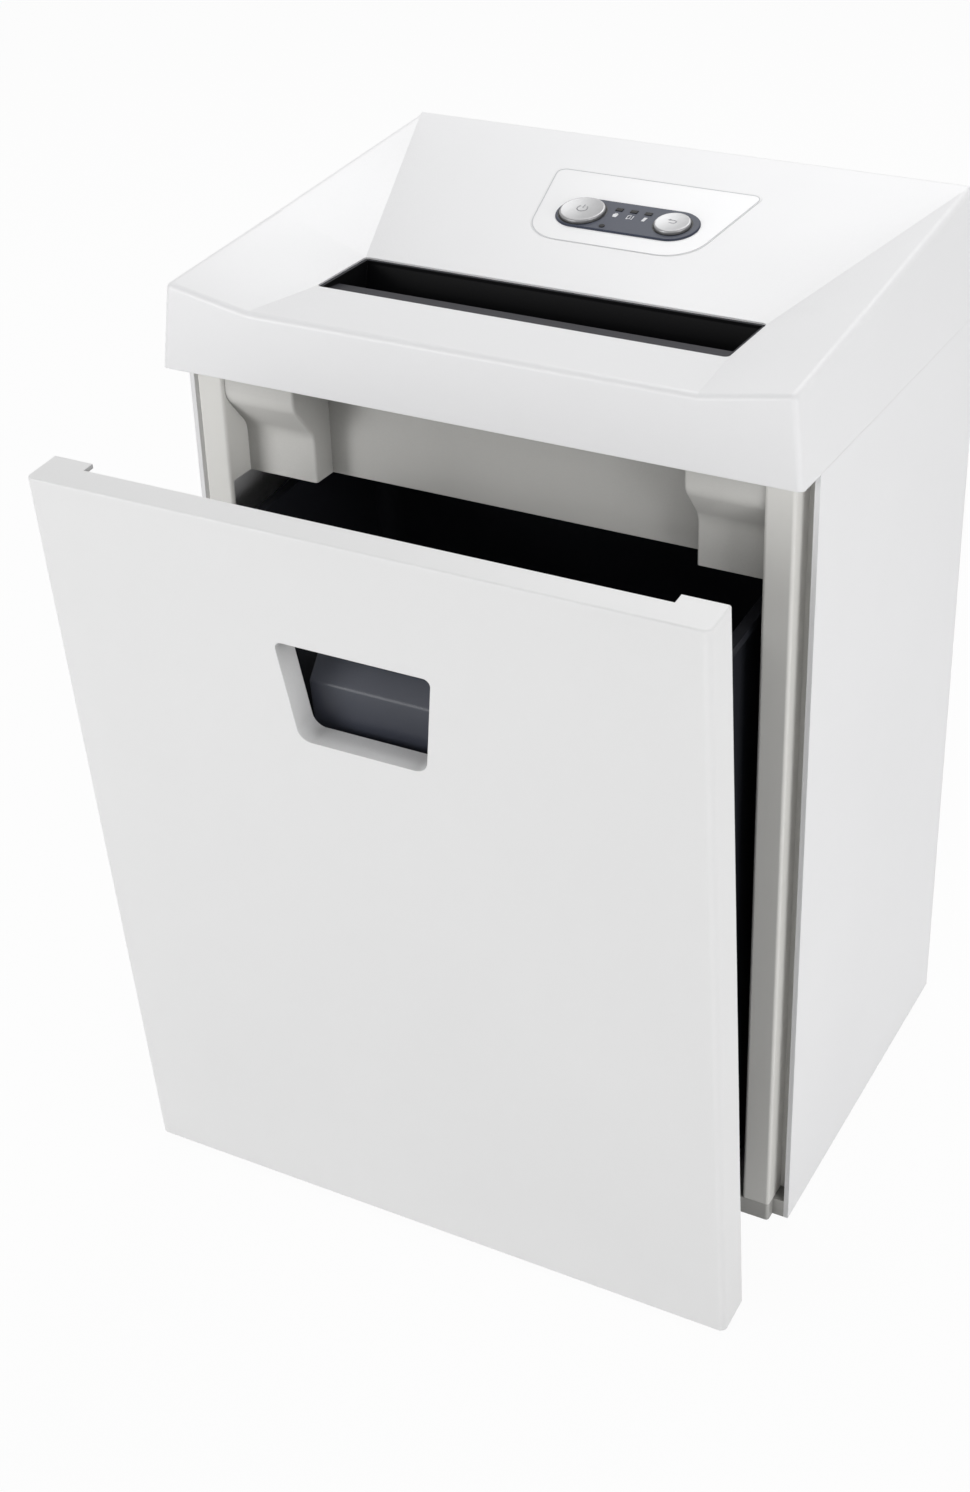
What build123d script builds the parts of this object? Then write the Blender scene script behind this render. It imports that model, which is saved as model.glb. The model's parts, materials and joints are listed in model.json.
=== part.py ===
from build123d import *
import math
import os

# A free-standing paper shredder: a hood with the cutting unit stands on a cabinet, and a bin
# with the front panel on it slides out of the cabinet and tips forward.
# Millimetres. +Z is up and the front faces -Y. The cabinet is modelled around X = 0, Y = 0, and
# everything is moved along Y at the end, so that the origin is under the middle of the whole.

# Overall size
body_width = 380.0
head_depth = 278.0
top_height = 566.0
skirt_height = 492.0
wall = 3.0
gap = 0.5

half_width = body_width / 2
front_y = -head_depth / 2
back_y = head_depth / 2
inner_half = half_width - wall
inner_back = back_y - wall

# Hood: the front corners rise like horns beside a lower lip in front of the slot
side_draft = 0.12
front_draft = 0.05
back_draft = 0.01
horn_height = 541.5
lip_height = 532.8
lip_half = 132.0
slot_half = 124.0
slot_front = -80.0
slot_back = -27.5
slot_height = 530.0
slot_corner = 3.0
hood_edge_radius = 3.5
hood_overcut = 1.0

# Deck: the sloped top behind the slot
deck_run = back_y - back_draft * (top_height - skirt_height) - slot_back
deck_angle = math.degrees(math.atan2(top_height - slot_height, deck_run))
deck = Plane((0, slot_back, slot_height), (1, 0, 0), (0, -math.sin(math.radians(deck_angle)),
                                                      math.cos(math.radians(deck_angle))))

# Control area on the deck, placed by its distance up the slope
control_x = 5.0
control_run = 78.5
label_top_run = 124.0
label_low_run = 47.2
label_top_half = 67.0
label_low_half = 51.5
label_top_round = 5.0
label_low_round = 24.0
label_thickness = 1.0
label_pocket = 0.8
pill_spacing = 57.0
pill_height = 32.0
pill_top = 1.2
pill_edge = 0.6
button_gap = 0.4
power_radius = 13.5
reverse_radius = 10.8
button_top = 3.4
button_bottom = -6.0
button_flange = 1.6
flange_top = -3.6
flange_bottom = -4.8
button_round = 1.2
lens_spacing = 9.2
lens_offset_x = 1.0
lens_run = 86.0
lens_length = 4.4
lens_width = 3.0
lens_top = 1.5
lens_base_bottom = -5.0
lens_base_top = -wall
lens_base_margin = 1.5
sensor_x = -10.5
sensor_run = 66.7
sensor_radius = 1.7
board_half = 48.0
board_half_run = 22.0
board_top = -10.0
board_thickness = 1.6
board_boss_radius = 3.0
board_boss_x = 44.0
board_boss_run = 19.0
switch_size = 6.0
switch_height = 2.0

# Cabinet
panel_edge_y = -115.0
cabinet_bottom = 2.0
base_top = 14.0
base_floor = 3.0
foot_radius = 12.0
foot_pad_radius = 14.0
foot_x = 160.0
foot_front_y = -92.0
foot_back_y = 115.0
foot_round = 0.8
rest_y = 108.0
rest_length = 10.0
rest_inner_x = 60.0
rest_outer_x = 100.0
vent_count = 9
vent_pitch = 12.0
vent_width = 4.0
vent_height = 30.0
vent_z = 455.0
vent_x = 40.0

# Front frame
post_inner_x = 163.0
post_outer_x = 180.0
post_front_y = -122.0
post_back_y = -100.5
post_wall = 2.5
post_corner = 2.0
post_notch_z = 484.5
sill_back_y = panel_edge_y
front_wall_y = -85.0
front_wall_bottom = 420.0
ledge_thickness = 3.0
guide_inner_x = 118.0
guide_front_y = -120.0
guide_crease_z = 471.0
guide_face_y = -102.0
guide_face_top = 449.0
guide_bottom = 420.0
guide_wall = 3.0
guide_bend = 14.0
guide_round = 1.5

# Head tray under the cutting unit
tray_bottom = 421.0
tray_top = 424.0
tray_mouth_half = 126.0
tray_mouth_front = -79.0
tray_mouth_back = -13.0

# Feed chute
throat_y = -46.0
throat_width = 9.0
chute_bottom = 476.0
chute_wall = 2.0
chute_top = 529.0
chute_lip_drop = 2.0
chute_ledge = 20.0
chute_ledge_fall = 2.0

# Cutting unit
roller_z = 455.0
axis_distance = 25.6
disc_radius = 15.0
core_radius = 10.0
disc_width = 3.6
disc_pitch = 8.0
disc_count = 30
shaft_radius = 4.0
shaft_fit = 0.04
plate_inner_x = 130.0
plate_thickness = 3.0
plate_front_y = -78.5
plate_back_y = 46.0
plate_top = 500.0
bearing_radius = 8.0
bearing_flange = 1.5
roller_end_x = 126.0
shaft_left_x = 138.0
stripper_thickness = 3.5
stripper_clear = 0.7
stripper_low = 440.0
stripper_high = 470.0
finger_low = 448.0
finger_high = 462.0
finger_width = 3.0
tie_rod_radius = 4.0
tie_rod_z = 490.0
tie_rod_front_y = -72.0
tie_rod_back_y = -21.0

front_axis_y = throat_y - axis_distance / 2
rear_axis_y = throat_y + axis_distance / 2
plate_outer_x = plate_inner_x + plate_thickness

# Gear train outside the right cutter plate
pressure_angle = math.radians(20.0)
backlash = 0.30
addendum = 0.9
dedendum = 1.25
sync_teeth = 32
sync_module = axis_distance / sync_teeth
drive_teeth = 48
small_teeth = 16
drive_module = 1.0
large_teeth = 48
pinion_teeth = 12
pinion_module = 0.8
sync_gear_x = 136.0
drive_gear_x = 146.0
large_gear_x = 156.0
gear_width = 8.0
large_gear_width = 6.0
compound_angle = 25.0
pinion_angle = -15.0
stud_end = 165.0
stud_head_radius = 6.0
stud_head = 1.5
motor_radius = 24.0
motor_length = 92.0
motor_round = 3.0
motor_boss_radius = 8.0
motor_shaft_radius = 2.5
motor_shaft_depth = 30.0
bracket_x = 62.0
bracket_width = 10.0
bracket_margin = 6.0

compound_reach = drive_module * (drive_teeth + small_teeth) / 2
pinion_reach = pinion_module * (large_teeth + pinion_teeth) / 2
compound_y = rear_axis_y + compound_reach * math.cos(math.radians(compound_angle))
compound_z = roller_z + compound_reach * math.sin(math.radians(compound_angle))
pinion_y = compound_y + pinion_reach * math.cos(math.radians(pinion_angle))
pinion_z = compound_z + pinion_reach * math.sin(math.radians(pinion_angle))

# Power supply on the tray and the inlet in the back panel
power_board_x = -75.0
power_board_y = 92.0
power_board_length = 110.0
power_board_depth = 60.0
power_board_z = 430.0
standoff_radius = 3.0
standoff_inset = 5.0
coil_size = 26.0
capacitor_radius = 9.0
capacitor_height = 28.0
inlet_x = -140.0
inlet_z = 455.0
inlet_half_x = 14.0
inlet_half_z = 10.0
inlet_depth = 20.0
inlet_flange = 4.0
inlet_flange_thickness = 2.0
inlet_socket_depth = 14.0
inlet_socket_wall = 2.5
pin_width = 2.0
pin_height = 4.0
pin_length = 10.0
pin_spacing = 7.0

# Door switch on the left front post and its magnet on the front panel
switch_left_x = -179.0
switch_width = 12.0
switch_depth = 2.0
switch_low = 60.0
switch_high = 76.0
magnet_x = -158.0
magnet_size = 6.0
magnet_height = 8.0

# Front panel, in its closed place
panel_half = 193.0
panel_front = -140.0
panel_low = 15.5
panel_height = 473.0
panel_skin = 3.0
panel_flange = 24.5
panel_flange_wall = 2.5
panel_tab_length = 25.0
panel_tab_step = 7.5
panel_post_gap = 2.0
panel_low_flange = 7.0
panel_edge_radius = 4.0
panel_corner_radius = 1.2
window_x = -4.0
window_low = 347.5
window_high = 407.0
window_low_half = 38.0
window_high_half = 46.0
window_low_round = 8.0
window_high_round = 4.0
window_depth = 15.0
window_wall = 2.5
boss_x = 120.0
boss_low_z = 90.0
boss_high_z = 330.0
boss_radius = 7.0

# Bin, in its closed place
bin_half = 152.0
bin_front = -108.5
bin_back = 126.0
bin_low = 30.0
bin_high = 402.0
bin_wall = 2.5
bin_rim = 4.0
bin_rim_height = 5.0
bin_corner = 14.0
grip_half = 42.0
grip_out = 11.0
grip_crest = 386.5
grip_round = 1.5
grip_back_top = 398.0
grip_low = 352.0
screw_radius = 2.0
screw_head_radius = 5.0
screw_head = 2.5
screw_depth = 18.0

# Carriage and axle under the bin
pull_out = 77.7
tip_angle = 4.95
axle_y = 4.0
axle_z = 22.0
axle_radius = 3.0
axle_fit = 0.05
axle_end_x = 121.0
carriage_half = 108.0
carriage_front_y = -4.0
carriage_back_y = 60.0
carriage_low = 14.4
carriage_high = 18.0
carriage_lug_inner_x = 99.0
carriage_lug_outer_x = 106.0
lug_radius = 6.0
bin_lug_inner_x = 113.0
bin_lug_outer_x = 119.0
rail_inner_x = 108.5
rail_outer_x = 111.5
rail_front_y = -113.0
rail_back_y = 100.0
rail_high = 18.0

carriage_place = Pos(0, -pull_out, 0)
tip_place = Pos(0, axle_y - pull_out, axle_z) * Rot(tip_angle, 0, 0) * Pos(0, -axle_y, -axle_z)


def block(x0, x1, y0, y1, z0, z1):
    """Box between two corners."""
    return Pos((x0 + x1) / 2, (y0 + y1) / 2, (z0 + z1) / 2) * Box(x1 - x0, y1 - y0, z1 - z0)


def rod_x(x0, x1, y, z, radius):
    """Round bar along X."""
    return Pos((x0 + x1) / 2, y, z) * Rot(0, 90, 0) * Cylinder(radius, x1 - x0)


def rod_y(x, y0, y1, z, radius):
    """Round bar along Y."""
    return Pos(x, (y0 + y1) / 2, z) * Rot(90, 0, 0) * Cylinder(radius, y1 - y0)


def rod_z(x, y, z0, z1, radius):
    """Round bar along Z."""
    return Pos(x, y, (z0 + z1) / 2) * Cylinder(radius, z1 - z0)


def prism_x(outline, x0, x1):
    """Outline in Y and Z, drawn out along X."""
    face = make_face(Polyline(*outline, close=True))
    return Pos(x0, 0, 0) * extrude(Plane.YZ * face, x1 - x0)


def other_side(shape):
    """The same piece on the other side of the middle plane."""
    return mirror(shape, about=Plane.YZ)


def edges_along(shape, axis, centre_test):
    """Straight edges along an axis whose centre passes a test."""
    return [edge for edge in shape.edges().filter_by(axis) if centre_test(edge.center())]


# Hood


def hood_corner(side, inset, y, z):
    """Point on the drafted side wall, on the right for side 1 and on the left for side -1."""
    return (side * (half_width - inset - side_draft * (z - skirt_height)), y, z)


def hood_skin(inset, bottom):
    """Closed solid of the hood's outer shape, or of the space inside it for an inset."""

    def front_at(z):
        return front_y + inset + front_draft * (z - skirt_height)

    def back_at(z):
        return back_y - inset - back_draft * (z - skirt_height)

    horn_z = horn_height - inset
    lip_z = lip_height - inset
    rim_z = slot_height - inset
    top_z = top_height - inset
    horn_y = front_at(horn_z)
    top_y = back_at(top_z)

    def edge_z(y):
        return horn_z + (top_z - horn_z) * (y - horn_y) / (top_y - horn_y)

    side_walls = []
    outlines = {}
    for side in (1, -1):
        low_front = hood_corner(side, inset, front_at(bottom), bottom)
        low_back = hood_corner(side, inset, back_at(bottom), bottom)
        horn = hood_corner(side, inset, horn_y, horn_z)
        edge_front = hood_corner(side, inset, slot_front, edge_z(slot_front))
        edge_back = hood_corner(side, inset, slot_back, edge_z(slot_back))
        top = hood_corner(side, inset, top_y, top_z)
        lip = (side * lip_half, front_at(lip_z), lip_z)
        rim_front = (side * slot_half, slot_front, rim_z)
        rim_back = (side * slot_half, slot_back, rim_z)
        side_walls.append(flat(low_front, low_back, top, edge_back, edge_front, horn))
        side_walls.append(ruled(lip, rim_front, horn, edge_front))
        side_walls.append(ruled(rim_front, rim_back, edge_front, edge_back))
        side_walls.append(flat(rim_back, top, edge_back))
        outlines[side] = (low_front, low_back, horn, top, lip, rim_front, rim_back)
    low_front, low_back, horn, top, lip, rim_front, rim_back = zip(outlines[1], outlines[-1])
    middle = [
        flat(*low_front, low_back[1], low_back[0]),
        flat(*low_back, top[1], top[0]),
        flat(low_front[0], horn[0], lip[0], lip[1], horn[1], low_front[1]),
        flat(*lip, rim_front[1], rim_front[0]),
        flat(*rim_front, rim_back[1], rim_back[0]),
        flat(*rim_back, top[1], top[0]),
    ]
    return Solid(Shell(side_walls + middle))


def flat(*corners):
    """Flat face through corners."""
    return Face(Wire.make_polygon(corners))


def ruled(inner_start, inner_end, outer_start, outer_end):
    """Face stretched between an inner and an outer straight edge."""
    inner = Edge.make_line(inner_start, inner_end)
    outer = Edge.make_line(outer_start, outer_end)
    return Face.make_surface_from_curves(inner, outer)


def slot_prism(inset, z0, z1):
    """Upright prism of the paper slot, with rounded corners."""
    length = 2 * (slot_half - inset)
    depth = slot_back - slot_front - 2 * inset
    face = RectangleRounded(length, depth, slot_corner - inset)
    return Pos(0, (slot_front + slot_back) / 2, z0) * extrude(face, z1 - z0)


def rounded_trapezoid(low_half, high_half, low, high, low_round, high_round):
    """Flat face with a level lower and upper side, and rounded corners."""
    corners = [
        (low_half, low),
        (high_half, high),
        (-high_half, high),
        (-low_half, low),
    ]
    face = make_face(Polyline(*corners, close=True))
    face = fillet(face.vertices().sort_by(Axis.Y)[-2:], high_round)
    return fillet(face.vertices().sort_by(Axis.Y)[:2], low_round)


def on_deck(x, run, height):
    """Place on the deck, by the distance from the middle, up the slope and above the deck."""
    return deck.location * Pos(x, run, height)


def pill_prism(margin, low, high):
    """Prism of the control panel's pill shape, square to the deck."""
    face = SlotCenterToCenter(pill_spacing, pill_height + 2 * margin)
    return on_deck(control_x, control_run, low) * extrude(face, high - low)


def label_prism(low, high):
    """Prism of the label field, square to the deck."""
    face = rounded_trapezoid(label_low_half, label_top_half, label_low_run, label_top_run,
                             label_low_round, label_top_round)
    return on_deck(control_x, 0, low) * extrude(face, high - low)


def board_bosses(low, high):
    """Four posts that carry the control board under the deck."""
    posts = []
    for x in (-board_boss_x, board_boss_x):
        for run in (-board_boss_run, board_boss_run):
            place = on_deck(control_x + x, control_run + run, (low + high) / 2)
            posts.append(place * Cylinder(board_boss_radius, high - low))
    return posts


def hood():
    shell = hood_skin(0, skirt_height)
    shell = fillet([edge for edge in shell.edges() if is_outer_edge(edge)], hood_edge_radius)
    shell -= hood_skin(wall, skirt_height - hood_overcut)
    ledge_back = front_wall_y
    ledge_front = front_y + wall / 2
    shell += block(-inner_half, inner_half, ledge_front, ledge_back,
                   skirt_height, skirt_height + ledge_thickness)
    shell += board_bosses(board_top, -wall / 2)
    shell -= slot_prism(0, skirt_height + ledge_thickness, top_height)
    shell -= label_prism(-label_pocket, label_thickness)
    shell -= pill_prism(0, -2 * wall, label_thickness)
    return shell


def is_outer_edge(edge):
    """Edge of the hood where its front, sides, back and top meet, above the skirt's lower edge."""
    middle = edge.center()
    side_middle = half_width - side_draft * (middle.Z - skirt_height)
    at_side = abs(middle.X) > side_middle - gap
    at_front = middle.Y < front_y + front_draft * (middle.Z - skirt_height) + gap
    at_back = middle.Y > back_y - back_draft * (middle.Z - skirt_height) - gap
    return middle.Z > skirt_height + gap and (at_side or at_front or at_back)


# Controls on the deck


def label_plate():
    plate = label_prism(-label_pocket, label_thickness - label_pocket)
    return plate - pill_prism(0, -wall, label_thickness)


def button_hole(x, radius):
    return on_deck(control_x + x, control_run, 0) * Cylinder(radius + button_gap, 4 * wall)


def lens_windows(low, high):
    """Three small light windows in a row."""
    windows = []
    for index in (-1, 0, 1):
        x = control_x + lens_offset_x + index * lens_spacing
        place = on_deck(x, lens_run, (low + high) / 2)
        windows.append(place * Box(lens_length, lens_width, high - low))
    return windows


def control_panel():
    panel = pill_prism(0, -wall, pill_top)
    top_face = panel.faces().sort_by(lambda face: deck.to_local_coords(face.center()).Z)[-1]
    panel = chamfer(top_face.edges(), pill_edge)
    panel -= button_hole(-pill_spacing / 2, power_radius)
    panel -= button_hole(pill_spacing / 2, reverse_radius)
    panel -= lens_windows(-2 * wall, 2 * wall)
    panel -= on_deck(control_x + sensor_x, sensor_run, 0) * Cylinder(sensor_radius, 4 * wall)
    return panel


def status_lens():
    """Clear light guide: three windows on one strip under the control panel."""
    strip_length = 2 * lens_spacing + lens_length + 2 * lens_base_margin
    strip_width = lens_width + 2 * lens_base_margin
    strip_middle = (lens_base_top + lens_base_bottom) / 2
    strip_place = on_deck(control_x + lens_offset_x, lens_run, strip_middle)
    strip = strip_place * Box(strip_length, strip_width, lens_base_top - lens_base_bottom)
    return strip + lens_windows(lens_base_top, lens_top)


def sensor_window():
    place = on_deck(control_x + sensor_x, sensor_run, (lens_top - wall) / 2)
    return place * Cylinder(sensor_radius, lens_top + wall)


def button(x, radius):
    """Round button with a collar that holds it under the control panel."""
    body = Pos(0, 0, (button_top + button_bottom) / 2) * Cylinder(radius, button_top - button_bottom)
    body = fillet(body.edges().sort_by(Axis.Z)[-1], button_round)
    collar_middle = (flange_top + flange_bottom) / 2
    body += Pos(0, 0, collar_middle) * Cylinder(radius + button_flange, flange_top - flange_bottom)
    return on_deck(control_x + x, control_run, 0) * body


def control_board():
    middle = board_top - board_thickness / 2
    board = on_deck(control_x, control_run, middle) * Box(2 * board_half, 2 * board_half_run,
                                                          board_thickness)
    for x in (-pill_spacing / 2, pill_spacing / 2):
        place = on_deck(control_x + x, control_run, board_top + switch_height / 2)
        board += place * Box(switch_size, switch_size, switch_height)
    return board


# Cabinet


def side_panel():
    """Right side panel."""
    return block(inner_half, half_width, panel_edge_y, inner_back, cabinet_bottom, skirt_height)


def back_panel():
    panel = block(-half_width, half_width, inner_back, back_y, cabinet_bottom, skirt_height)
    upright = edges_along(panel, Axis.Z, lambda centre: centre.Y > (inner_back + back_y) / 2)
    panel = fillet(upright, wall / 2)
    first_vent = vent_x - vent_pitch * (vent_count - 1) / 2
    for index in range(vent_count):
        x = first_vent + index * vent_pitch
        panel -= block(x - vent_width / 2, x + vent_width / 2, inner_back, back_y,
                       vent_z - vent_height / 2, vent_z + vent_height / 2)
    panel -= block(inlet_x - inlet_half_x, inlet_x + inlet_half_x, inner_back, back_y,
                   inlet_z - inlet_half_z, inlet_z + inlet_half_z)
    return panel


def foot_places():
    """Where the four feet stand, with the name of each."""
    return {
        "front_left_foot": (-foot_x, foot_front_y),
        "front_right_foot": (foot_x, foot_front_y),
        "back_left_foot": (-foot_x, foot_back_y),
        "back_right_foot": (foot_x, foot_back_y),
    }


def base_plate():
    """Floor of the cabinet: a plate with a wall down around it and a pad over each foot."""
    plate = block(-inner_half, inner_half, panel_edge_y, inner_back, cabinet_bottom, base_top)
    plate -= block(-inner_half + wall, inner_half - wall, panel_edge_y + wall, inner_back - wall,
                   cabinet_bottom, base_top - base_floor)
    for x, y in foot_places().values():
        plate += rod_z(x, y, cabinet_bottom, base_top, foot_pad_radius)
    return plate


def bin_rest():
    """Right block on the cabinet floor that the back of the pushed-in bin comes down on."""
    return block(rest_inner_x, rest_outer_x, rest_y, rest_y + rest_length, base_top, bin_low - gap)


def foot(x, y):
    shape = rod_z(x, y, 0, cabinet_bottom, foot_radius)
    return fillet(shape.edges().sort_by(Axis.Z)[0], foot_round)


def front_post():
    """Right post of the front frame: an angle with a web that reaches the side panel. It is closed
    on the inside beside the guide block and notched at the top for the front panel's tab."""
    post = block(post_inner_x, post_outer_x, post_front_y, post_back_y, base_top, skirt_height)
    front_corners = edges_along(post, Axis.Z, lambda centre: centre.Y < post_back_y - gap)
    post = fillet(front_corners, post_corner)
    post -= block(post_inner_x + post_wall, post_outer_x - post_wall, post_front_y + post_wall,
                  post_back_y, base_top, skirt_height)
    post -= block(post_inner_x, post_inner_x + post_wall, post_front_y + post_wall, post_back_y,
                  base_top, guide_bottom)
    post += block(post_outer_x - post_wall, inner_half, post_back_y - post_wall, post_back_y,
                  base_top, skirt_height)
    return post - block(post_inner_x, post_outer_x, post_front_y, panel_edge_y,
                        post_notch_z, skirt_height)


def front_sill():
    sill = block(-post_outer_x, post_outer_x, post_front_y, sill_back_y, cabinet_bottom, base_top)
    return fillet(edges_along(sill, Axis.Z, lambda centre: centre.Y < sill_back_y - gap), post_corner)


def inner_front_wall():
    return block(-inner_half, inner_half, front_wall_y, front_wall_y + wall,
                 front_wall_bottom, skirt_height)


def guide_face(margin):
    """Section of a guide block in Y and Z: it stands forward under the skirt and bends back below."""
    corners = [
        (guide_front_y + margin, skirt_height),
        (guide_front_y + margin, guide_crease_z + margin),
        (guide_face_y + margin, guide_face_top + margin),
        (guide_face_y + margin, guide_bottom + margin),
        (front_wall_y, guide_bottom + margin),
        (front_wall_y, skirt_height),
    ]
    face = make_face(Polyline(*corners, close=True))
    bends = [vertex for vertex in face.vertices() if guide_bottom + margin < vertex.Y < skirt_height]
    return fillet(bends, guide_bend)


def is_guide_corner(edge):
    """Edge between the front of a guide block and its inner side."""
    middle = edge.center()
    at_front = middle.Y < guide_face_y + gap and middle.Z < skirt_height - gap
    return at_front and abs(middle.X - guide_inner_x) < gap


def guide_block():
    """Right guide block, a hollow moulding between the inner front wall and the post."""
    shape = Pos(guide_inner_x, 0, 0) * extrude(Plane.YZ * guide_face(0), post_inner_x - guide_inner_x)
    inner_side = [edge for edge in shape.edges() if is_guide_corner(edge)]
    shape = fillet(inner_side, guide_round)
    hollow_length = post_inner_x - guide_inner_x - 2 * guide_wall
    hollow_face = Plane.YZ * guide_face(guide_wall)
    hollow = Pos(guide_inner_x + guide_wall, 0, 0) * extrude(hollow_face, hollow_length)
    return shape - hollow


def head_tray():
    tray = block(-inner_half, inner_half, front_wall_y + wall, inner_back, tray_bottom, tray_top)
    return tray - block(-tray_mouth_half, tray_mouth_half, tray_mouth_front, tray_mouth_back,
                        tray_bottom, tray_top)


# Feed chute


def feed_chute():
    """Funnel from the slot down to the throat, with a ledge along its front."""
    rim_z = chute_top - chute_lip_drop
    ledge_z = rim_z - chute_ledge_fall
    throat_front = throat_y - throat_width / 2
    throat_back = throat_y + throat_width / 2
    outer_section = [
        (slot_front, chute_top),
        (slot_front, rim_z - chute_wall),
        (slot_front + chute_ledge - chute_wall, ledge_z - chute_wall),
        (throat_front - chute_wall, chute_bottom),
        (throat_back + chute_wall, chute_bottom),
        (slot_back, rim_z),
        (slot_back, chute_top),
    ]
    inner_section = [
        (slot_front + chute_wall, chute_top),
        (slot_front + chute_wall, rim_z),
        (slot_front + chute_ledge, ledge_z),
        (throat_front, chute_bottom),
        (throat_back, chute_bottom),
        (slot_back - chute_wall, rim_z),
        (slot_back - chute_wall, chute_top),
    ]
    outer = prism_x(outer_section, -slot_half, slot_half) & slot_prism(0, chute_bottom, chute_top)
    inner = prism_x(inner_section, -slot_half, slot_half) & slot_prism(chute_wall, chute_bottom, chute_top)
    return outer - inner


# Cutting unit


def cutter_plate(side):
    """Side plate of the cutting unit, on the right for side 1."""
    x0, x1 = sorted((side * plate_inner_x, side * plate_outer_x))
    plate = block(x0, x1, plate_front_y, plate_back_y, tray_top, plate_top)
    for y in (front_axis_y, rear_axis_y):
        plate -= rod_x(x0, x1, y, roller_z, bearing_radius)
    if side > 0:
        plate -= rod_x(x0, x1, pinion_y, pinion_z, motor_boss_radius)
        plate -= rod_x(x0, x1, compound_y, compound_z, shaft_radius)
    return plate


def tie_rod(y):
    return rod_x(-plate_inner_x, plate_inner_x, y, tie_rod_z, tie_rod_radius)


def roller_bearing(side, y):
    """Plain bearing in a cutter plate, with a collar on the inside."""
    x0, x1 = sorted((side * plate_inner_x, side * plate_outer_x))
    collar_x0, collar_x1 = sorted((side * (plate_inner_x - bearing_flange), side * plate_inner_x))
    bearing = rod_x(x0, x1, y, roller_z, bearing_radius)
    bearing += rod_x(collar_x0, collar_x1, y, roller_z, bearing_radius + bearing_flange)
    return bearing - rod_x(min(x0, collar_x0), max(x1, collar_x1), y, roller_z, shaft_radius + shaft_fit)


def cutter_roller(y, shift, right_end):
    """Roller of cutting discs on a core; the discs of one run between those of the other."""
    outline = [(-shaft_left_x, 0), (-shaft_left_x, shaft_radius), (-roller_end_x, shaft_radius)]
    outline.append((-roller_end_x, core_radius))
    first_disc = -disc_pitch * (disc_count - 1) / 2 + shift
    for index in range(disc_count):
        x = first_disc + index * disc_pitch
        outline.append((x - disc_width / 2, core_radius))
        outline.append((x - disc_width / 2, disc_radius))
        outline.append((x + disc_width / 2, disc_radius))
        outline.append((x + disc_width / 2, core_radius))
    outline.append((roller_end_x, core_radius))
    outline.append((roller_end_x, shaft_radius))
    outline.append((right_end, shaft_radius))
    outline.append((right_end, 0))
    half_section = make_face(Polyline(*outline, close=True))
    return Pos(0, y, roller_z) * revolve(half_section, Axis.X)


def stripper(y, toward, shift):
    """Comb beside a roller: its fingers stand in the gaps between that roller's discs."""
    inner_face = y - toward * (disc_radius + stripper_clear)
    outer_face = inner_face - toward * stripper_thickness
    finger_tip = y - toward * (core_radius + stripper_clear)
    bar_y0, bar_y1 = sorted((inner_face, outer_face))
    comb = block(-plate_inner_x, plate_inner_x, bar_y0, bar_y1, stripper_low, stripper_high)
    finger_y0, finger_y1 = sorted((inner_face, finger_tip))
    first_gap = -disc_pitch * (disc_count - 2) / 2 + shift
    for index in range(disc_count - 1):
        x = first_gap + index * disc_pitch
        comb += block(x - finger_width / 2, x + finger_width / 2, finger_y0, finger_y1,
                      finger_low, finger_high)
    return comb


def involute(angle):
    return math.tan(angle) - angle


def gear_outline(teeth, module, phase):
    """Spur gear section with involute flanks, one tooth centred at the phase angle."""
    pitch_radius = teeth * module / 2
    base_radius = pitch_radius * math.cos(pressure_angle)
    root_radius = pitch_radius - dedendum * module
    tip_radius = pitch_radius + addendum * module
    flank_start = max(root_radius, base_radius)
    half_tooth = math.pi / (2 * teeth) - backlash / (4 * pitch_radius) + involute(pressure_angle)
    flank = [(root_radius, half_tooth - involute(math.acos(base_radius / flank_start)))]
    flank_steps = 4
    for step in range(flank_steps + 1):
        radius = flank_start + (tip_radius - flank_start) * step / flank_steps
        flank.append((radius, half_tooth - involute(math.acos(base_radius / radius))))
    if root_radius >= base_radius:
        flank.pop(0)
    outline = []
    for tooth in range(teeth):
        middle = math.radians(phase) + 2 * math.pi * tooth / teeth
        for radius, half_angle in flank:
            outline.append(polar(radius, middle - half_angle))
        for radius, half_angle in reversed(flank):
            outline.append(polar(radius, middle + half_angle))
    return outline


def polar(radius, angle):
    return (radius * math.cos(angle), radius * math.sin(angle))


def gear(teeth, module, x, width, y, z, phase):
    """Spur gear turning about a line along X, without its bore."""
    face = make_face(Polyline(*gear_outline(teeth, module, phase), close=True))
    return Pos(x, y, z) * extrude(Plane.YZ * face, width)


def mesh_phase(angle, teeth):
    """Phase that puts a gap of a gear on the tooth of the gear it meets, seen at an angle."""
    return angle + 180.0 - 180.0 / teeth


def front_sync_gear():
    wheel = gear(sync_teeth, sync_module, sync_gear_x, gear_width, front_axis_y, roller_z, 0)
    return wheel - rod_x(sync_gear_x, sync_gear_x + gear_width, front_axis_y, roller_z, shaft_radius)


def rear_sync_gear():
    phase = mesh_phase(0, sync_teeth)
    wheel = gear(sync_teeth, sync_module, sync_gear_x, gear_width, rear_axis_y, roller_z, phase)
    return wheel - rod_x(sync_gear_x, sync_gear_x + gear_width, rear_axis_y, roller_z, shaft_radius)


def drive_gear():
    wheel = gear(drive_teeth, drive_module, drive_gear_x, gear_width, rear_axis_y, roller_z,
                 compound_angle)
    return wheel - rod_x(drive_gear_x, drive_gear_x + gear_width, rear_axis_y, roller_z, shaft_radius)


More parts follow.
